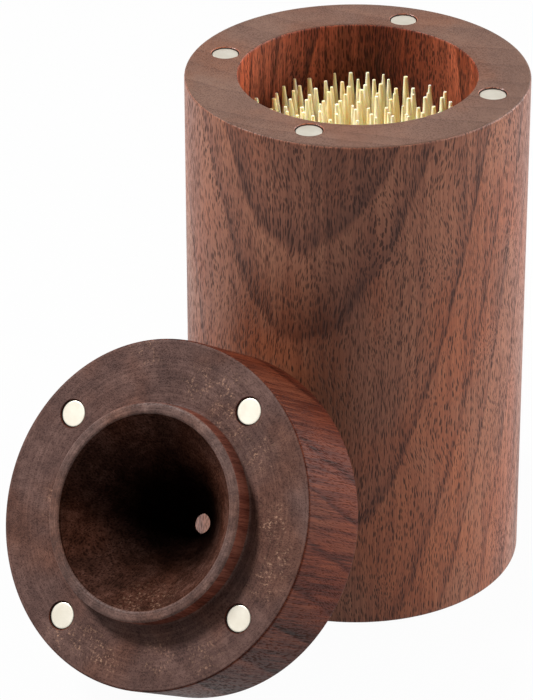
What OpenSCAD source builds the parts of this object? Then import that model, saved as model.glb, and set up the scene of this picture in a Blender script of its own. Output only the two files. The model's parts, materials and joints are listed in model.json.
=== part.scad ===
// Turned walnut toothpick dispenser.
// A round body with a blind bore holds the toothpicks upright. A lid of the same
// diameter carries a collar that drops into the bore and a funnel that leads one
// toothpick at a time to the exit hole. Four magnets in the rim hold four in the lid.
// Origin: centre of the body's base, +Z up. The lid leans on the body's -Y side.

/* [Body] */
// Outer diameter of the body and the lid
body_d = 52; // [50:1:64]
// Diameter of the bore that holds the toothpicks
bore_d = 36; // [30:1:38]
// Thickness of wood under the bore
floor_t = 8; // [4:1:14]
// Height of the body's rim above the tips of upright toothpicks
headroom = 8; // [7:0.5:14]
// Radius of the sanded outer and bore edges
edge_r = 0.4; // [0.2:0.1:1]

/* [Lid] */
// Thickness of the lid without its collar
lid_t = 15; // [10:1:24]
// Height of the collar that drops into the bore
collar_h = 3.4; // [2:0.2:5]
// Gap between the collar and the bore, on the radius
collar_gap = 1.8; // [0.3:0.1:3]
// Width of the ring at the collar's end
collar_wall = 1.8; // [1.2:0.1:3]
// Radius of the fillet where the collar meets the lid's inner face
root_r = 1; // [0.3:0.1:1.8]
// Gap between a toothpick and the exit hole, on the radius
exit_gap = 0.55; // [0.2:0.05:1]
// Length of the straight part of the exit hole
exit_l = 1.3; // [0.6:0.1:4]

/* [Lid at rest] */
// Lean of the lid against the body, from upright
lean = 32; // [20:1:45]
// Gap between the leaning lid and the body's side
lean_gap = 0.3; // [0.1:0.1:1]
// Turn of the leaning lid about its own axis, away from the body's magnets
lid_turn = 13.5; // [0:0.5:89.5]

/* [Magnets] */
// Diameter of a magnet disc
magnet_d = 4; // [3:0.5:5]
// Thickness of a magnet disc
magnet_t = 2; // [1:0.5:4]
// Gap round a magnet in its pocket, on the radius, filled with glue
glue_gap = 0.1; // [0.05:0.05:0.2]
// Depth of a magnet's face below the wood
magnet_recess = 0.2; // [0:0.1:0.6]
// Wood between a magnet's pocket and the bore
pocket_wall = 1.15; // [0.8:0.05:1.5]
// Magnets in the body, and in the lid
magnet_count = 4; // [2:1:6]
// Turn of the body's first magnet in plan, from +X
magnet_turn = 14.5; // [0:0.5:89.5]

/* [Toothpicks] */
// Length of a toothpick
pick_l = 65; // [55:1:80]
// Diameter of a toothpick's shaft
pick_d = 2; // [1.6:0.1:2.4]
// Diameter of a toothpick's blunt tip
tip_d = 0.5; // [0.3:0.1:0.9]
// Length of the taper at each end
taper_l = 10; // [6:1:20]
// Diameter at the middle of a taper, as a share of the shaft's
taper_swell = 0.65; // [0.63:0.01:0.85]

/* [Toothpick stack] */
// Share of a row's width that its toothpicks fill at the bottom
fill = 0.80; // [0.4:0.02:0.8]
// Gap between one row of toothpicks and the next
row_gap = 0.3; // [0.1:0.05:1]
// Gap between neighbours in a row, at their feet
foot_gap = 0.15; // [0.1:0.05:0.5]
// Gap between the outermost toothpicks and the bore
wall_gap = 0.1; // [0.05:0.05:0.5]
// Turn of the rows in plan, from +X
row_turn = 35; // [0:1:180]
// Greatest height of a toothpick's foot above the bore's floor
rise = 1; // [0.2:0.1:2]
// Greatest sideways scatter of the tips
scatter = 0.2; // [0:0.05:0.4]
// Which random arrangement of the stack
arrangement = 11; // [1:1:99]

/* [Hidden] */
body_r = body_d / 2;
bore_r = bore_d / 2;
body_h = floor_t + pick_l + headroom;

pick_r = pick_d / 2;
tip_r = tip_d / 2;

collar_r = bore_r - collar_gap;
mouth_r = collar_r - collar_wall;
exit_r = pick_r + exit_gap;
exit_break = 0.3;      // chamfer at the exit hole's outer end
collar_edge_r = 0.5;   // rounding of the collar's end

pocket_r = magnet_d / 2 + glue_gap;
pocket_depth = magnet_t + magnet_recess;
pocket_circle_r = bore_r + pocket_wall + pocket_r;
magnet_chamfer = 0.15;

// A lid that leans touches the floor and the body with its rounded edge, and so
// its centre lies a little nearer to both than that of a lid with sharp edges.
edge_roll = edge_r * (1 - sin(lean) - cos(lean));
lid_top_y = -(body_r + lean_gap + body_r * sin(lean) + edge_roll);
lid_top_z = body_r * cos(lean) + edge_roll;

// The rows lie side by side across the bore, the middle one on its axis.
row_pitch = pick_d + row_gap;
foot_pitch = pick_d + foot_gap;
reach = bore_r - pick_r - wall_gap;
rows_each_side = floor(reach / row_pitch);
row_count = 2 * rows_each_side + 1;
picks_per_row_max = ceil(2 * reach / foot_pitch) + 1;
random_rise = rands(0, 1, row_count * picks_per_row_max, arrangement);
random_scatter = rands(-1, 1, row_count * picks_per_row_max, arrangement + 1);
random_slant = rands(0.95, 1, 2 * row_count, arrangement + 2);
random_start = rands(0, 1, 2 * row_count, arrangement + 3);

smooth = 128;          // sides of a round piece of wood in a preview
fine = 24;             // sides of a magnet or a toothpick in a preview
through = 1;           // length by which a cutter runs past a face

body_magnet_names = [for (i = [1 : magnet_count]) str("body_magnet_", i)];
lid_magnet_names = [for (i = [1 : magnet_count]) str("lid_magnet_", i)];
row_names = [for (i = [1 : row_count]) str("toothpick_row_", i)];

walnut = [0.40, 0.25, 0.19];
dark_walnut = [0.33, 0.22, 0.18];
nickel = [0.85, 0.83, 0.80];
birch = [0.93, 0.82, 0.60];

// Points of an arc about a centre in a turned profile
function arc(centre, r, from, to, steps = 4) =
    [for (k = [0 : steps]) let (a = from + (to - from) * k / steps) centre + r * [cos(a), sin(a)]];

// Places of the magnets round the pocket circle
module at_magnet(i, turn) {
    rotate(turn + 360 * i / magnet_count)
        translate([pocket_circle_r, 0, 0]) children();
}

// A magnet disc, its face at z = 0 and its back below
module magnet_disc() {
    magnet_r = magnet_d / 2;
    color(nickel)
        rotate_extrude($fn = fine)
            polygon([
                [0, -magnet_t],
                [magnet_r - magnet_chamfer, -magnet_t],
                [magnet_r, -magnet_t + magnet_chamfer],
                [magnet_r, -magnet_chamfer],
                [magnet_r - magnet_chamfer, 0],
                [0, 0]
            ]);
}

// A pocket drilled down from z = 0
module pocket() {
    translate([0, 0, -pocket_depth])
        cylinder(r = pocket_r, h = pocket_depth + through, $fn = fine);
}

// The body: turned outside, bored blind from above
module body() {
    color(walnut)
        difference() {
            rotate_extrude($fn = smooth)
                polygon(concat(
                    [[0, 0]],
                    arc([body_r - edge_r, edge_r], edge_r, -90, 0),
                    arc([body_r - edge_r, body_h - edge_r], edge_r, 0, 90),
                    arc([bore_r + edge_r, body_h - edge_r], edge_r, 90, 180),
                    [[bore_r, floor_t], [0, floor_t]]
                ));
            for (i = [0 : magnet_count - 1])
                at_magnet(i, magnet_turn) translate([0, 0, body_h]) pocket();
        }
}

module body_magnet(i) {
    at_magnet(i, magnet_turn)
        translate([0, 0, body_h - magnet_recess]) magnet_disc();
}

// Puts a piece of the lid where the lid leans. The lid's own frame has its inner
// face at z = 0, its collar below and its closed top at z = lid_t.
module on_lid() {
    translate([0, lid_top_y, lid_top_z])
        rotate([-(90 + lean), 0, 0])
            translate([0, 0, -lid_t]) children();
}

// The lid: one turned profile with collar, funnel and exit hole
module lid() {
    color(dark_walnut)
        on_lid()
            difference() {
                rotate_extrude($fn = smooth)
                    polygon(concat(
                        [[exit_r, lid_t - exit_l], [exit_r, lid_t - exit_break],
                         [exit_r + exit_break, lid_t]],
                        arc([body_r - edge_r, lid_t - edge_r], edge_r, 90, 0),
                        arc([body_r - edge_r, edge_r], edge_r, 0, -90),
                        arc([collar_r + root_r, -root_r], root_r, 90, 180),
                        arc([collar_r - collar_edge_r, -collar_h + collar_edge_r],
                            collar_edge_r, 0, -90),
                        arc([mouth_r + collar_edge_r, -collar_h + collar_edge_r],
                            collar_edge_r, -90, -180)
                    ));
                for (i = [0 : magnet_count - 1])
                    at_magnet(i, magnet_turn + lid_turn) mirror([0, 0, 1]) pocket();
            }
}

module lid_magnet(i) {
    on_lid()
        at_magnet(i, magnet_turn + lid_turn)
            mirror([0, 0, 1]) translate([0, 0, -magnet_recess]) magnet_disc();
}

// A round toothpick with two pointed ends, standing on its lower tip at z = 0
module toothpick() {
    swell_r = pick_r * taper_swell;
    color(birch)
        rotate_extrude($fn = fine)
            polygon([
                [0, 0],
                [tip_r, 0],
                [swell_r, taper_l / 2],
                [pick_r, taper_l],
                [pick_r, pick_l - taper_l],
                [swell_r, pick_l - taper_l / 2],
                [tip_r, pick_l],
                [0, pick_l]
            ]);
}

// The toothpick on the axis, the next to leave through the exit hole
module next_toothpick() {
    translate([0, 0, floor_t + wall_gap]) toothpick();
}

// The feet and tips, as [foot, tip], of toothpicks that fan out between x = from
// and x = to. The feet stand close together, near x = to, and the tips spread over
// the width. The tips of each fan start at a place of their own, so that the
// toothpicks of one row don't stand right behind those of the next.
function fan(from, to, slant, start, first) =
    let (
        width = to - from,
        count = floor(width * fill / foot_pitch) + 1,
        spare = width - (count - 1) * foot_pitch,
        spread = width / count
    )
    [for (j = [0 : count - 1])
        let (
            foot = from + slant * spare + j * foot_pitch,
            tip = from + (start + j) * spread + scatter * random_scatter[first + j]
        )
        [foot, min(max(tip, from), to)]];

// One row of toothpicks. The middle row leaves the axis free.
module toothpick_row(i) {
    depth = (i - rows_each_side) * row_pitch;
    half = sqrt(reach * reach - depth * depth);
    first = i * picks_per_row_max;
    second = first + ceil(picks_per_row_max / 2);
    slant = [random_slant[2 * i], random_slant[2 * i + 1]];
    start = [random_start[2 * i], random_start[2 * i + 1]];
    picks = i == rows_each_side
        ? concat(fan(-half, -foot_pitch, slant[0], start[0], first),
                 fan(foot_pitch, half, slant[1], start[1], second))
        : fan(-half, half, slant[0], start[0], first);
    rotate(row_turn)
        for (j = [0 : len(picks) - 1]) {
            foot = picks[j][0];
            tip = picks[j][1];
            slope = asin((tip - foot) / pick_l);
            lift = wall_gap + tip_r * abs(sin(slope)) + rise * random_rise[first + j];
            translate([foot, depth, floor_t + lift])
                rotate([0, slope, 0]) toothpick();
        }
}

body();
lid();
next_toothpick();
for (i = [0 : magnet_count - 1]) {
    body_magnet(i);
    lid_magnet(i);
}
for (i = [0 : row_count - 1])
    toothpick_row(i);
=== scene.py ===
import json
import math
import random

import bmesh
import bpy
from mathutils import Matrix, Vector


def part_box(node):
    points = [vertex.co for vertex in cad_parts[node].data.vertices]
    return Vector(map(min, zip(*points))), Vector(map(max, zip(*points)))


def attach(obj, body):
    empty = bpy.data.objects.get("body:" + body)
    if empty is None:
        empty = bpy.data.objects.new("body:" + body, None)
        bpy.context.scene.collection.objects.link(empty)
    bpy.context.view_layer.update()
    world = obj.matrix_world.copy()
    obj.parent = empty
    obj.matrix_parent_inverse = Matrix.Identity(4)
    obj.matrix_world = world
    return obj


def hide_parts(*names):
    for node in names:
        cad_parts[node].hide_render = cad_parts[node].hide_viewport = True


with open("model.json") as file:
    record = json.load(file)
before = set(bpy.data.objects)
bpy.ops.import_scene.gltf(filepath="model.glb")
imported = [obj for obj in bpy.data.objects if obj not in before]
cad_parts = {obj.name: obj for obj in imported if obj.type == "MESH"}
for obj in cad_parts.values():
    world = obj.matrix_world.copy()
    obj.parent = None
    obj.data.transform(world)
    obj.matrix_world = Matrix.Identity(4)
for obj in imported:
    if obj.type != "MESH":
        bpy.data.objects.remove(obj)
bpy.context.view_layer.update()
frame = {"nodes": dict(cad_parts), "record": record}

scene = bpy.context.scene
scene.view_settings.view_transform = "Standard"
mm = 0.001


# The camera stands to the front right of the leaning lid and looks down on the
# dispenser through a long lens, from where its photograph was taken.
camera_azimuth = math.radians(35.155)
camera_elevation = math.radians(28.488)
camera_roll = math.radians(-0.168)
camera_distance = 607.1 * mm
camera_lens = 200.7          # millimetres, on a sensor of 36 mm
camera_aim = Vector((-11.27 * mm, -7.93 * mm, 33.79 * mm))

to_camera = Vector((
    math.sin(camera_azimuth) * math.cos(camera_elevation),
    -math.cos(camera_azimuth) * math.cos(camera_elevation),
    math.sin(camera_elevation),
))
level_right = Vector((math.cos(camera_azimuth), math.sin(camera_azimuth), 0.0))
level_up = to_camera.cross(level_right)
camera_right = math.cos(camera_roll) * level_right + math.sin(camera_roll) * level_up
camera_up = to_camera.cross(camera_right)

camera_data = bpy.data.cameras.new("camera")
camera_data.sensor_width = 36.0
camera_data.lens = camera_lens
camera_data.clip_start = 0.01
camera_data.clip_end = 20.0
camera = bpy.data.objects.new("camera", camera_data)
scene.collection.objects.link(camera)
camera.matrix_world = Matrix.Translation(camera_aim + camera_distance * to_camera) @ Matrix(
    (camera_right, camera_up, to_camera)
).transposed().to_4x4()
scene.camera = camera


# The body is one piece of walnut, turned to a cylinder with its grain upright and
# bored blind from above. Its edges are sanded round, and four pockets are drilled
# into the rim for the magnets.
body_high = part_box("body")[1]
body_radius = body_high.x
body_height = body_high.z
bore_radius = 18.0 * mm
bore_floor = 8.0 * mm
body_edge = 0.4 * mm
edge_hold = 0.3 * mm         # a ring of faces that keeps each flat or wall true up to its edge
pocket_radius = 2.1 * mm
pocket_depth = 2.2 * mm
pocket_edge = 0.12 * mm
wood_facets = 256
magnet_facets = 64
wood_crease = 28.0           # degrees between faces above which an edge is sharp
near = 0.2 * mm              # a face this close to a surface belongs to it
hair = 0.05 * mm             # the same, where two surfaces lie close together
rim_band = 3.0 * mm          # a level face this close below the rim is end grain
level = 0.75                 # how upright the normal of a level face is at least

# The order of the woods on the body and on the lid.
side_slot, end_slot, hollow_slot, pocket_shade_slot, collar_end_slot, collar_wall_slot = range(6)


def arc(centre, radius, start, end, steps=6):
    """Points of a rounded edge in a turned profile, as (radius, height) pairs."""
    turns = [math.radians(start + (end - start) * k / steps) for k in range(steps + 1)]
    return [(centre[0] + radius * math.cos(t), centre[1] + radius * math.sin(t)) for t in turns]


def turn_on_lathe(profile, facets):
    """A bmesh of the profile spun about the z axis, closed where it meets the axis."""
    turned = bmesh.new()
    points = [turned.verts.new((r, 0.0, z)) for r, z in profile]
    edges = [turned.edges.new(pair) for pair in zip(points, points[1:])]
    if profile[0][0] > 0.0:
        edges.append(turned.edges.new((points[-1], points[0])))
    bmesh.ops.spin(
        turned, geom=points + edges, cent=(0, 0, 0), axis=(0, 0, 1),
        angle=2.0 * math.pi, steps=facets, use_merge=True,
    )
    bmesh.ops.remove_doubles(turned, verts=turned.verts, dist=0.001 * mm)
    bmesh.ops.recalc_face_normals(turned, faces=turned.faces)
    return turned


def piece_from(name, shape, sharp_angle=wood_crease):
    """Makes a finished object of a bmesh, smooth but for its sharp edges."""
    mesh = bpy.data.meshes.new(name)
    shape.to_mesh(mesh)
    shape.free()
    mesh.shade_smooth()
    mesh.set_sharp_from_angle(angle=math.radians(sharp_angle))
    piece = bpy.data.objects.new(name, mesh)
    scene.collection.objects.link(piece)
    return piece


def drill(piece, drill_points, outward):
    """Drills a magnet pocket with a broken edge at each point, down against outward."""
    profile = [
        (0.0, -pocket_depth), (pocket_radius, -pocket_depth), (pocket_radius, -pocket_edge),
        (pocket_radius + 2 * pocket_edge, pocket_edge), (pocket_radius + 2 * pocket_edge, 1 * mm),
        (0.0, 1 * mm),
    ]
    bits = bmesh.new()
    to_face = Vector((0, 0, 1)).rotation_difference(outward).to_matrix().to_4x4()
    for point in drill_points:
        bit = turn_on_lathe(profile, magnet_facets)
        bit.transform(Matrix.Translation(point) @ to_face)
        bit_mesh = bpy.data.meshes.new("bit")
        bit.to_mesh(bit_mesh)
        bit.free()
        bits.from_mesh(bit_mesh)
        bpy.data.meshes.remove(bit_mesh)
    cutter = piece_from("drill_bits", bits)
    cut = piece.modifiers.new("pockets", "BOOLEAN")
    cut.operation = "DIFFERENCE"
    cut.solver = "EXACT"
    cut.object = cutter
    bpy.context.view_layer.update()
    drilled = bpy.data.meshes.new_from_object(
        piece.evaluated_get(bpy.context.evaluated_depsgraph_get()))
    piece.modifiers.remove(cut)
    piece.data = drilled
    bpy.data.objects.remove(cutter)
    drilled.shade_smooth()
    drilled.set_sharp_from_angle(angle=math.radians(wood_crease))


def node_adder(material):
    """Returns a function that adds a shader node, wires its inputs and gives it back."""
    tree = material.node_tree

    def add(kind, inputs=None, **settings):
        node = tree.nodes.new("ShaderNode" + kind)
        for setting, value in settings.items():
            setattr(node, setting, value)
        for key, value in (inputs or {}).items():
            if isinstance(value, bpy.types.NodeSocket):
                tree.links.new(value, node.inputs[key])
            else:
                node.inputs[key].default_value = value
        return node

    return add


def new_material(name):
    """An empty node material, its Principled shader and its node adder."""
    material = bpy.data.materials.new(name)
    material.use_nodes = True
    shader = material.node_tree.nodes["Principled BSDF"]
    return material, shader, node_adder(material)


def ramp(add, value, stops):
    """A colour ramp over the given (place, colour) stops. Returns its colour socket."""
    node = add("ValToRGB", {"Fac": value})
    elements = node.color_ramp.elements
    while len(elements) < len(stops):
        elements.new(0.5)
    for element, (place, colour) in zip(elements, stops):
        element.position = place
    for element, (place, colour) in zip(elements, stops):
        element.color = (*colour, 1.0)
    return node.outputs["Color"]


# Growth rings, as (distance from the pith side in mm, tone). Tone 0 is the dark line
# where one year's wood ends, and 1 the palest wood of a year.
growth_rings = [
    (-30.0, 0.50), (-20.8, 0.70), (-20.5, 0.20), (-13.3, 0.75), (-13.0, 0.15), (-5.8, 0.72),
    (-5.5, 0.20), (1.2, 0.75), (1.5, 0.15), (2.3, 0.50),
    (7.0, 0.74), (7.3, 0.20), (8.1, 0.52), (13.2, 0.70), (13.5, 0.16), (14.2, 0.54),
    (18.7, 0.70), (18.9, 0.14), (19.6, 0.54), (22.8, 0.70), (23.0, 0.12), (23.7, 0.56),
    (27.9, 0.72), (28.1, 0.06), (28.8, 0.54), (35.0, 0.72), (35.2, 0.16), (36.0, 0.50),
    (37.7, 0.80), (37.95, 0.16), (38.8, 0.46), (46.0, 0.52),
]
ring_low = growth_rings[0][0]
ring_high = growth_rings[-1][0]
pith_distance = 90.0
pith_azimuth = math.radians(15.4)
pith = (-pith_distance * math.sin(pith_azimuth), pith_distance * math.cos(pith_azimuth), 0.0)
ring_slope = 0.185           # how far the rings step inwards for each millimetre up
pore_cell = (0.27, 0.27, 1.9)    # mm across the grain both ways, and along it
speck_cell = (0.20, 0.20, 1.4)
sawdust = (0.42, 0.24, 0.16, 1.0)

# Where sawdust has settled on the lid's inner face and in its funnel, in mm from its axis.
dust_drifts = [
    (0.9, -20.4), (5.5, -21.0), (6.4, -17.2), (10.3, -16.2), (14.2, -13.3), (19.6, -5.0),
    (22.4, 0.3), (21.2, 4.0), (7.9, 19.3), (-0.6, 22.5), (-4.2, 21.4), (15.3, 16.9),
    (-8.6, 21.0), (-9.8, -23.0), (-17.3, 3.0), (5.5, 11.5), (2.0, 12.5),
]


def walnut(name, place, tones, rings=1.0, fibres=0.5, mottle=0.0, lathe=0.0, pores=0.75,
           dust=0.0, shade=None, roughness=0.5, specular=0.2):
    """Walnut with its grain along the z axis of its place, a (location, rotation) pair.
    tones are the colours of its dark, middle and pale wood. rings, fibres, mottle, lathe,
    pores and dust say how strongly each of these shows. Two heights in mm and a factor,
    if given, darken the wood between those heights by that factor: painted shade, as deep down a
    hollow."""
    material, shader, add = new_material(name)

    def maths(operation, a, b=0.0, c=0.0, clamp=False):
        node = add("Math", {0: a, 1: b, 2: c}, operation=operation)
        node.use_clamp = clamp
        return node.outputs[0]

    def vector(operation, a, b=(0, 0, 0)):
        return add("VectorMath", {0: a, 1: b}, operation=operation).outputs["Vector"]

    def fade(value, low, high, first=0.0, last=1.0):
        inputs = {"Value": value, "From Min": low, "From Max": high, "To Min": first, "To Max": last}
        return add("MapRange", inputs, interpolation_type="SMOOTHSTEP").outputs[0]

    def noise(where, size, detail=2.0, rough=0.5):
        inputs = {"Vector": vector("DIVIDE", where, size), "Scale": 1.0, "Detail": detail,
                  "Roughness": rough}
        return add("TexNoise", inputs).outputs

    def cells(where, size):
        inputs = {"Vector": vector("DIVIDE", where, size), "Scale": 1.0}
        return add("TexVoronoi", inputs, feature="F1").outputs["Distance"]

    def swing(value, width):
        """A noise value of 0 to 1, made to swing about 0 by half of width each way."""
        return maths("MULTIPLY_ADD", value, width, -0.5 * width)

    def blend(factor, first, second, how="MIX"):
        inputs = {"Factor": factor, 6: first, 7: second}
        return add("Mix", inputs, data_type="RGBA", blend_type=how).outputs[2]

    coordinates = add("TexCoord").outputs["Object"]
    wood = add("Mapping", {
        "Vector": coordinates, "Location": place[0], "Rotation": place[1], "Scale": (mm, mm, mm),
    }, vector_type="TEXTURE").outputs[0]

    # growth rings, which wander a little from a true cone round the pith
    flat = vector("MULTIPLY", wood, (1.0, 1.0, 0.0))
    height = add("SeparateXYZ", {0: wood}).outputs["Z"]
    from_pith = add("VectorMath", {0: flat, 1: pith}, operation="DISTANCE").outputs["Value"]
    across = maths("MULTIPLY_ADD", height, ring_slope, from_pith)
    across = maths("ADD", across, swing(noise(wood, (26.0, 26.0, 70.0))[0], 2.2))
    across = maths("ADD", across, swing(noise(wood, (4.0, 4.0, 15.0))[0], 0.9))
    year = add("MapRange", {
        "Value": across, "From Min": ring_low + pith_distance, "From Max": ring_high + pith_distance,
    }).outputs[0]
    tone = ramp(add, year, [
        ((at - ring_low) / (ring_high - ring_low), (grey, grey, grey)) for at, grey in growth_rings])
    tone = maths("MULTIPLY_ADD", tone, rings, 0.5 * (1.0 - rings))

    # long fine fibres along the grain, broad streaks, and blotches in end grain
    streaks = swing(noise(wood, (0.8, 0.8, 24.0), 4.0, 0.62)[0], 1.3 * fibres)
    fine_streaks = swing(noise(wood, (0.2, 0.2, 5.0))[0], 0.9 * fibres)
    tone = maths("ADD", tone, maths("ADD", streaks, fine_streaks))
    tone = maths("ADD", tone, swing(noise(wood, (9.0, 9.0, 45.0))[0], 0.7))
    if mottle:
        tone = maths("ADD", tone, swing(noise(wood, (2.6, 2.6, 2.6), 6.0, 0.74)[0], mottle))
    if lathe:
        radius = add("VectorMath", {0: flat}, operation="LENGTH").outputs["Value"]
        marks = add("TexNoise", {"W": radius, "Scale": 2.4, "Detail": 3.0, "Roughness": 0.6},
                    noise_dimensions="1D").outputs[0]
        tone = maths("ADD", tone, swing(marks, lathe))
    colour = ramp(add, tone, [(0.0, tones[0]), (0.5, tones[1]), (1.0, tones[2])])
    warmth = fade(noise(wood, (14.0, 14.0, 26.0), 3.0)[0], 0.42, 0.66)
    colour = blend(warmth, colour, (1.08, 0.88, 0.74, 1.0), "MULTIPLY")

    # pores: short dark dashes along the grain, dots where it is cut across
    sway = vector("SUBTRACT", noise(wood, (12.0, 12.0, 26.0), 1.0)[1], (0.5, 0.5, 0.5))
    swayed = vector("ADD", wood, vector("MULTIPLY", sway, (7.0, 7.0, 0.0)))
    dash = cells(swayed, pore_cell)
    girth = fade(tone, 0.1, 0.9, 0.56, 0.40)
    pore = fade(maths("SUBTRACT", girth, dash), 0.0, 0.22)
    speck = cells(swayed, speck_cell)
    pore = maths("MAXIMUM", pore, fade(speck, 0.38, 0.20, 0.0, 0.70))
    hollow = tuple(0.40 * part for part in tones[0]) + (1.0,)
    colour = blend(maths("MULTIPLY", pore, pores), colour, hollow)

    if dust:
        grains = fade(noise(wood, (0.42, 0.42, 0.42), 3.0, 0.7)[0], 0.50, 0.66)
        drifts = 0.0
        for x, y in dust_drifts:
            away = add("VectorMath", {0: flat, 1: (x, y, 0.0)}, operation="DISTANCE").outputs["Value"]
            drifts = maths("MAXIMUM", drifts, fade(away, 0.2, 4.2, 1.0, 0.0))
        patches = fade(noise(wood, (1.7, 1.7, 1.7), 4.0, 0.7)[0], 0.42, 0.62)
        drifts = maths("MULTIPLY", drifts, patches)
        colour = blend(maths("MULTIPLY", maths("MULTIPLY", grains, drifts), dust),
                       colour, sawdust)
    # Painted shade: the wood darkens between two heights, as down a hollow the light does not reach.
    if shade:
        depth = fade(height, shade[0], shade[1], 1.0, shade[2])
        colour = blend(1.0, colour, depth, "MULTIPLY")

    relief = maths("SUBTRACT", maths("MULTIPLY", streaks, 0.3), pore)
    bump = add("Bump", {"Height": relief, "Strength": 0.5, "Distance": 0.06 * mm})
    links = material.node_tree.links
    links.new(colour, shader.inputs["Base Color"])
    links.new(fade(pore, 0.0, 1.0, roughness, roughness + 0.25), shader.inputs["Roughness"])
    links.new(bump.outputs["Normal"], shader.inputs["Normal"])
    shader.inputs["Specular IOR Level"].default_value = specular
    return material


body_place = ((0.0, 0.0, 0.0), (0.0, 0.0, 0.0))
body_side_wood = walnut(
    "walnut_body_side", body_place,
    ((0.074, 0.025, 0.016), (0.225, 0.082, 0.048), (0.385, 0.160, 0.092)),
    rings=0.75, fibres=0.7, pores=0.85, roughness=0.36, specular=0.26)
body_rim_wood = walnut(
    "walnut_body_rim", body_place,
    ((0.074, 0.035, 0.024), (0.118, 0.060, 0.041), (0.166, 0.091, 0.063)),
    rings=0.5, fibres=0.25, mottle=0.7, lathe=0.2, pores=0.35, roughness=0.5)
bore_wood = walnut(
    "walnut_bore", body_place,
    ((0.044, 0.010, 0.005), (0.200, 0.049, 0.023), (0.470, 0.124, 0.060)),
    fibres=0.9, pores=0.8, roughness=0.5)
# The pockets' walls are near black: painted shade of the narrow gap round each magnet.
pocket_painted_shade = walnut(
    "walnut_pocket_painted_shade", body_place,
    ((0.006, 0.002, 0.001), (0.014, 0.005, 0.003), (0.024, 0.009, 0.006)), pores=0.3, roughness=0.8)

edge_and_hold = body_edge + edge_hold
body_profile = (
    [(0.0, 0.0), (body_radius - edge_and_hold, 0.0)]
    + arc((body_radius - body_edge, body_edge), body_edge, -90, 0)
    + [(body_radius, edge_and_hold), (body_radius, body_height - edge_and_hold)]
    + arc((body_radius - body_edge, body_height - body_edge), body_edge, 0, 90)
    + [(body_radius - edge_and_hold, body_height), (bore_radius + edge_and_hold, body_height)]
    + arc((bore_radius + body_edge, body_height - body_edge), body_edge, 90, 180)
    + [(bore_radius, body_height - edge_and_hold), (bore_radius, bore_floor), (0.0, bore_floor)]
)
body = piece_from("turned_body", turn_on_lathe(body_profile, wood_facets))
for wood in (body_side_wood, body_rim_wood, bore_wood, pocket_painted_shade):
    body.data.materials.append(wood)


def in_pocket(face, centres, outward):
    """Whether a face is part of a drilled pocket, below its broken edge."""
    for centre in centres:
        offset = face.center - centre
        height = offset.dot(outward)
        across = (offset - height * outward).length
        if height < -0.5 * pocket_edge and across < pocket_radius + hair:
            return height > -pocket_depth - 2 * hair
    return False


def is_end_grain(face):
    """Whether a face of the body lies level at its rim or at its foot."""
    at_rim = face.center.z > body_height - rim_band
    at_foot = face.center.z < near
    return abs(face.normal.z) > level and (at_rim or at_foot)


body_magnets = [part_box(f"body_magnet_{k}") for k in range(1, 5)]
pocket_places = [Vector(((low.x + high.x) / 2, (low.y + high.y) / 2, body_height))
                 for low, high in body_magnets]
drill(body, pocket_places, Vector((0, 0, 1)))
for face in body.data.polygons:
    across = math.hypot(face.center.x, face.center.y)
    if in_pocket(face, pocket_places, Vector((0, 0, 1))):
        face.material_index = pocket_shade_slot
    elif is_end_grain(face):
        face.material_index = end_slot
    elif across < bore_radius + near + hair and face.center.z > bore_floor - 2 * hair:
        face.material_index = hollow_slot
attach(body, "dispenser")
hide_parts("body")


# The lid is a second piece of the same walnut, its grain along its own axis. It has
# a collar that drops into the bore and a funnel that narrows to the exit hole. It
# leans on the body with its open side out.
exit_mount = next(m for m in frame["record"]["mounts"] if m["name"] == "exit_hole")
lid_axis = Vector(exit_mount["axis"])
lid_thickness = 15.0 * mm
exit_mount_height = 14.2 * mm    # of the mount's point above the lid's inner face
lid_face_centre = Vector(exit_mount["pos_m"]) - exit_mount_height * lid_axis
lid_turn_x = math.atan2(-lid_axis.y, lid_axis.z)
lid_rotation = Matrix.Rotation(lid_turn_x, 4, "X")
lid_to_row = Matrix.Translation(lid_face_centre) @ lid_rotation

collar_radius = 16.2 * mm
collar_height = 3.4 * mm
collar_edge = 0.5 * mm
root_radius = 0.3 * mm
mouth_radius = 14.4 * mm
exit_radius = 1.55 * mm
exit_length = 1.3 * mm
exit_edge = 0.3 * mm
lid_edge = body_edge

lid_place = (tuple(lid_face_centre), (lid_turn_x, 0.0, 0.0))
# The lid's side grain is much darker than the same walnut on the body's side, partly as painted shade
# for the shade it lies in beside the body.
lid_side_wood_painted_shade = walnut(
    "walnut_lid_side_painted_shade", lid_place,
    ((0.014, 0.003, 0.001), (0.056, 0.012, 0.006), (0.128, 0.036, 0.018)),
    rings=0.8, fibres=1.2, pores=0.3, roughness=0.45, specular=0.08)
lid_face_wood = walnut(
    "walnut_lid_face", lid_place,
    ((0.040, 0.020, 0.017), (0.097, 0.051, 0.042), (0.180, 0.102, 0.084)),
    rings=0.2, fibres=0.3, mottle=1.3, lathe=0.6, pores=0.4, dust=1.0, roughness=0.55, specular=0.12)
collar_wood = walnut(
    "walnut_collar_end", lid_place,
    ((0.040, 0.020, 0.016), (0.098, 0.052, 0.042), (0.195, 0.116, 0.096)),
    rings=0.1, fibres=0.3, mottle=2.2, lathe=0.5, pores=0.3, roughness=0.5, specular=0.2)
collar_wall_wood = walnut(
    "walnut_collar_wall", lid_place,
    ((0.034, 0.009, 0.005), (0.115, 0.034, 0.022), (0.210, 0.075, 0.050)),
    rings=0.8, fibres=0.9, pores=0.2, roughness=0.5, specular=0.1)
# The funnel's wood is dark and grows darker towards the exit hole: painted shade of the funnel's
# depth.
funnel_wood_painted_shade = walnut(
    "walnut_funnel_painted_shade", lid_place,
    ((0.014, 0.006, 0.004), (0.055, 0.023, 0.016), (0.140, 0.068, 0.052)),
    rings=0.2, fibres=0.4, mottle=1.3, lathe=0.3, pores=0.6, dust=0.5,
    shade=(-2.0, 9.0, 0.08), roughness=0.7, specular=0.0)

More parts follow.
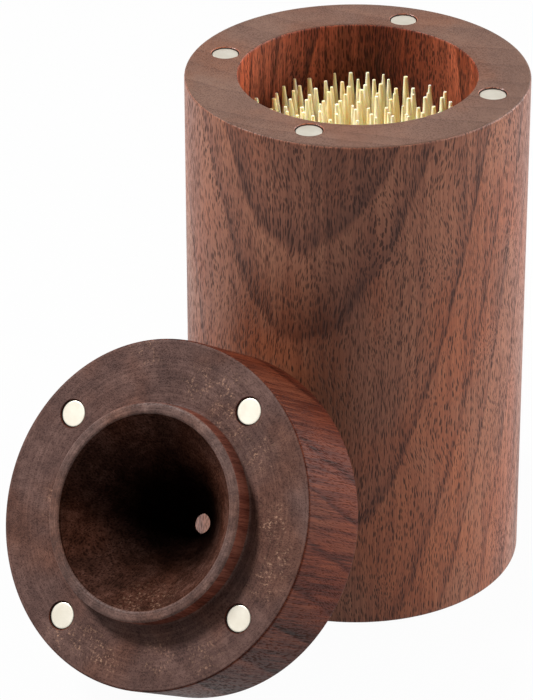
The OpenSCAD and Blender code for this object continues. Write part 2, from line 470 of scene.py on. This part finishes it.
lid_profile = (
    [(exit_radius, lid_thickness - exit_length), (exit_radius, lid_thickness - exit_edge),
     (exit_radius + exit_edge, lid_thickness), (body_radius - edge_and_hold, lid_thickness)]
    + arc((body_radius - lid_edge, lid_thickness - lid_edge), lid_edge, 90, 0)
    + [(body_radius, lid_thickness - edge_and_hold), (body_radius, edge_and_hold)]
    + arc((body_radius - lid_edge, lid_edge), lid_edge, 0, -90)
    + [(body_radius - edge_and_hold, 0.0), (collar_radius + root_radius + edge_hold, 0.0)]
    + arc((collar_radius + root_radius, -root_radius), root_radius, 90, 180)
    + arc((collar_radius - collar_edge, -collar_height + collar_edge), collar_edge, 0, -90)
    + arc((mouth_radius + collar_edge, -collar_height + collar_edge), collar_edge, -90, -180)
)
lid_shape = turn_on_lathe(lid_profile, wood_facets)
for face in lid_shape.faces:
    middle = face.calc_center_median()
    across = math.hypot(middle.x, middle.y)
    if across > body_radius - near:
        face.material_index = side_slot
    elif abs(across - collar_radius) < hair and middle.z < -root_radius:
        face.material_index = collar_wall_slot
    elif middle.z < -collar_height + collar_edge and across > mouth_radius + 2 * hair:
        face.material_index = collar_end_slot
    elif across < mouth_radius + near and middle.z < lid_thickness - 2 * hair:
        face.material_index = hollow_slot
    else:
        face.material_index = end_slot
lid_shape.transform(lid_to_row)
lid = piece_from("turned_lid", lid_shape)
for wood in (lid_side_wood_painted_shade, lid_face_wood, funnel_wood_painted_shade, pocket_painted_shade, collar_wood, collar_wall_wood):
    lid.data.materials.append(wood)

lid_magnets = [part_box(f"lid_magnet_{k}") for k in range(1, 5)]
lid_pockets = []
for low, high in lid_magnets:
    centre = (low + high) / 2
    lid_pockets.append(centre - lid_axis * (centre - lid_face_centre).dot(lid_axis))
drill(lid, lid_pockets, -lid_axis)
for face in lid.data.polygons:
    if in_pocket(face, lid_pockets, -lid_axis):
        face.material_index = pocket_shade_slot
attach(lid, "lid")
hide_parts("lid")


# The magnets are nickel plated discs, pressed and glued into their pockets a little
# below the wood, four in the body's rim and four in the lid's inner face.
magnet_radius = 2.0 * mm
magnet_thickness = 2.0 * mm
magnet_recess = 0.2 * mm
magnet_edge = 0.15 * mm
magnet_crease = 40.0

nickel, nickel_shader, add = new_material("nickel_plate")
coordinates = add("TexCoord").outputs["Object"]
cloud = add("TexNoise", {"Vector": coordinates, "Scale": 420.0, "Detail": 3.0}).outputs[0]
tint = ramp(add, cloud, [(0.3, (0.52, 0.48, 0.40)), (0.7, (0.60, 0.565, 0.485))])
scratch = add("TexNoise", {"Vector": coordinates, "Scale": 1900.0, "Detail": 2.0}).outputs[0]
rub = add("MapRange", {"Value": scratch, "To Min": 0.30, "To Max": 0.48}).outputs[0]
nickel.node_tree.links.new(tint, nickel_shader.inputs["Base Color"])
nickel.node_tree.links.new(rub, nickel_shader.inputs["Roughness"])
nickel_shader.inputs["Metallic"].default_value = 0.85


def magnet(name, face_centre, outward, rides_on):
    """A magnet disc with rounded edges, its face at face_centre."""
    disc = bmesh.new()
    bmesh.ops.create_cone(disc, cap_ends=True, segments=magnet_facets, radius1=magnet_radius,
                          radius2=magnet_radius, depth=magnet_thickness)
    rim_edges = [e for e in disc.edges if abs(e.verts[0].co.z - e.verts[1].co.z) < 2 * hair]
    bmesh.ops.bevel(disc, geom=rim_edges, offset=magnet_edge, affect="EDGES",
                    segments=3, profile=0.5, material=-1)
    ends = [f for f in disc.faces if len(f.verts) > 4]
    bmesh.ops.inset_individual(disc, faces=ends, thickness=magnet_edge)
    to_face = Vector((0, 0, 1)).rotation_difference(outward).to_matrix().to_4x4()
    sunk = face_centre - outward * (magnet_recess + magnet_thickness / 2)
    disc.transform(Matrix.Translation(sunk) @ to_face)
    piece = piece_from(name + "_disc", disc, magnet_crease)
    piece.data.materials.append(nickel)
    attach(piece, rides_on)
    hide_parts(name)


for k, place in enumerate(pocket_places, 1):
    magnet(f"body_magnet_{k}", place, Vector((0, 0, 1)), "dispenser")
for k, place in enumerate(lid_pockets, 1):
    magnet(f"lid_magnet_{k}", place, -lid_axis, "lid")


# The toothpicks are round birch sticks with a blunt point at each end. They stand
# loose in the bore, fanned out in rows, and each is shaped and tinted by itself. Their
# tint also holds painted shade: picks on the left of the bore are more orange, those on
# the right paler.
pick_length = 65.0 * mm
pick_radius = 1.0 * mm
pick_tip_radius = 0.25 * mm
pick_taper = 10.0 * mm
pick_sides = 14
pick_crease = 50.0
# The taper, as (share of its length from the tip, share of its growth in radius).
pick_shape = ((0.0, 0.0), (0.33, 0.34), (0.7, 0.73), (1.0, 1.0))

birch, birch_shader, add = new_material("toothpick_birch")
coordinates = add("TexCoord").outputs["Object"]
own_tint_and_painted_shade = add("Attribute", attribute_name="tint").outputs["Fac"]
stretched = add("Mapping", {"Vector": coordinates, "Scale": (2600.0, 2600.0, 120.0)}).outputs[0]
grain = add("TexNoise", {"Vector": stretched, "Scale": 1.0, "Detail": 3.0}).outputs[0]
shade = add("Math", {0: own_tint_and_painted_shade, 1: grain}, operation="MULTIPLY_ADD")
shade.inputs[1].default_value = 0.75
birch.node_tree.links.new(grain, shade.inputs[2])
# Pale cream to orange; the orange end also serves as the painted shade of the picks on the left.
birch_colour = ramp(add, shade.outputs[0], [
    (0.25, (1.00, 0.62, 0.25)), (0.6, (1.00, 0.86, 0.50)), (1.0, (1.00, 0.95, 0.72))])
birch.node_tree.links.new(birch_colour, birch_shader.inputs["Base Color"])
bump = add("Bump", {"Height": grain, "Strength": 0.4, "Distance": 0.04 * mm})
birch.node_tree.links.new(bump.outputs["Normal"], birch_shader.inputs["Normal"])
birch_shader.inputs["Roughness"].default_value = 0.6
birch_shader.inputs["Subsurface Weight"].default_value = 0.4
birch_shader.inputs["Subsurface Radius"].default_value = (1.0, 0.55, 0.25)
birch_shader.inputs["Subsurface Scale"].default_value = 1.0 * mm
birch_shader.inputs["Specular IOR Level"].default_value = 0.3


def stick_ends(node_name):
    """The lower and upper end of each toothpick of a CAD node."""
    solids = bmesh.new()
    solids.from_mesh(frame["nodes"][node_name].data)
    bmesh.ops.remove_doubles(solids, verts=solids.verts, dist=0.001 * mm)
    unseen = set(solids.verts)
    ends = []
    while unseen:
        stick = {unseen.pop()}
        edge_of_search = list(stick)
        while edge_of_search:
            vert = edge_of_search.pop()
            for link in vert.link_edges:
                other = link.other_vert(vert)
                if other in unseen:
                    unseen.discard(other)
                    stick.add(other)
                    edge_of_search.append(other)
        low = min(v.co.z for v in stick)
        high = max(v.co.z for v in stick)
        feet = [v.co for v in stick if v.co.z < low + pick_tip_radius]
        tips = [v.co for v in stick if v.co.z > high - pick_tip_radius]
        ends.append((sum(feet, Vector()) / len(feet), sum(tips, Vector()) / len(tips)))
    solids.free()
    return sorted(ends, key=lambda pair: (round(pair[0].x, 5), round(pair[0].y, 5)))


def toothpicks(name, rides_on, chance):
    """One row of toothpicks in the place of a CAD node."""
    row = bmesh.new()
    tint_layer = row.verts.layers.float.new("tint")
    for foot, tip in stick_ends(name):
        along = (tip - foot).normalized()
        tip_radius = pick_tip_radius * chance.uniform(0.7, 1.25)
        taper = pick_taper * chance.uniform(0.9, 1.15)
        stations = [(tip_radius + grown * (pick_radius - tip_radius), taper * share)
                    for share, grown in pick_shape]
        profile = [(0.0, 0.0)] + stations
        profile += [(r, pick_length - z) for r, z in reversed(stations)] + [(0.0, pick_length)]
        stick = turn_on_lathe(profile, pick_sides)
        stick.transform(Matrix.Translation(foot)
                        @ Vector((0, 0, 1)).rotation_difference(along).to_matrix().to_4x4())
        stick_mesh = bpy.data.meshes.new("stick")
        stick.to_mesh(stick_mesh)
        stick.free()
        count = len(row.verts)
        row.from_mesh(stick_mesh)
        bpy.data.meshes.remove(stick_mesh)
        row.verts.ensure_lookup_table()
        # Each pick's own tint, plus painted shade across the bore: the further right, the paler; the
        # further left, the more orange.
        tint_and_painted_side_shade = chance.uniform(0.20, 0.95) + 0.40 * tip.x / bore_radius
        for vert in row.verts[count:]:
            vert[tint_layer] = tint_and_painted_side_shade
    piece = piece_from(name + "_sticks", row, pick_crease)
    piece.data.materials.append(birch)
    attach(piece, rides_on)
    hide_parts(name)


chance = random.Random(11)
for name in frame["record"]["behaviour"]["bodies"]["toothpick_charge"]:
    toothpicks(name, "toothpick_charge", chance)
toothpicks("next_toothpick", "next_toothpick", chance)


# The floor is a plain pale sheet. To the camera it and the room are white, and it
# keeps only a soft shadow.
floor_size = 6.0
paper_grey = (0.42, 0.42, 0.42, 1.0)
paper_glow = 0.97            # the share of white in what the camera sees of the floor
room_light = 0.065
floor_shape = bmesh.new()
bmesh.ops.create_grid(floor_shape, x_segments=1, y_segments=1, size=floor_size)
floor = piece_from("floor", floor_shape)


def seen_rays(add):
    """1 for the rays of the camera, of mirrors and of glass, to which the room is white."""
    rays = add("LightPath").outputs
    seen = add("Math", {0: rays["Is Camera Ray"], 1: rays["Is Glossy Ray"]}, operation="MAXIMUM")
    seen = add("Math", {0: seen.outputs[0], 1: rays["Is Transmission Ray"]}, operation="MAXIMUM")
    return seen.outputs[0]


sheet = bpy.data.materials.new("pale_sheet")
sheet.use_nodes = True
sheet.node_tree.nodes.clear()
add = node_adder(sheet)
paper = add("BsdfDiffuse", {"Color": paper_grey}).outputs[0]
glow = add("Emission", {"Color": (1, 1, 1, 1), "Strength": 1.0}).outputs[0]
seen = add("Math", {0: seen_rays(add), 1: paper_glow}, operation="MULTIPLY").outputs[0]
mixed = add("MixShader", {0: seen, 1: paper, 2: glow}).outputs[0]
add("OutputMaterial", {"Surface": mixed})
floor.data.materials.append(sheet)

world = bpy.data.worlds.new("room")
scene.world = world
world.use_nodes = True
world.node_tree.nodes.clear()
add = node_adder(world)
white = add("Background", {"Color": (1, 1, 1, 1), "Strength": 1.0}).outputs[0]
room = add("Background", {"Color": (1.0, 0.99, 0.98, 1.0), "Strength": room_light}).outputs[0]
mixed = add("MixShader", {0: seen_rays(add), 1: room, 2: white}).outputs[0]
add("OutputWorld", {"Surface": mixed})


# Four soft boxes light the dispenser: a small high one on the left that casts the
# shadows, a faint one below it that the lid's magnets mirror, and two large low ones
# on the right.
lamp_distance = 0.65
lamp_target = Vector((0.0, -0.01, 0.04))


def soft_lamp(name, azimuth, elevation, size, power):
    """A square soft box that faces the dispenser. Azimuth 0 is the side of the camera."""
    turn = camera_azimuth + math.radians(azimuth)
    rise = math.radians(elevation)
    towards = Vector((math.sin(turn) * math.cos(rise), -math.cos(turn) * math.cos(rise),
                      math.sin(rise)))
    data = bpy.data.lights.new(name, "AREA")
    data.shape = "SQUARE"
    data.size = size
    data.energy = power
    lamp = bpy.data.objects.new(name, data)
    scene.collection.objects.link(lamp)
    lamp.location = lamp_target + lamp_distance * towards
    lamp.rotation_euler = towards.to_track_quat("Z", "Y").to_euler()


soft_lamp("high_lamp", -95.0, 52.0, 0.12, 6.0)
soft_lamp("left_window", -69.0, 27.0, 0.30, 0.33)
soft_lamp("right_window", 112.0, 20.0, 0.50, 5.0)
soft_lamp("front_window", 74.0, 22.0, 0.40, 2.5)
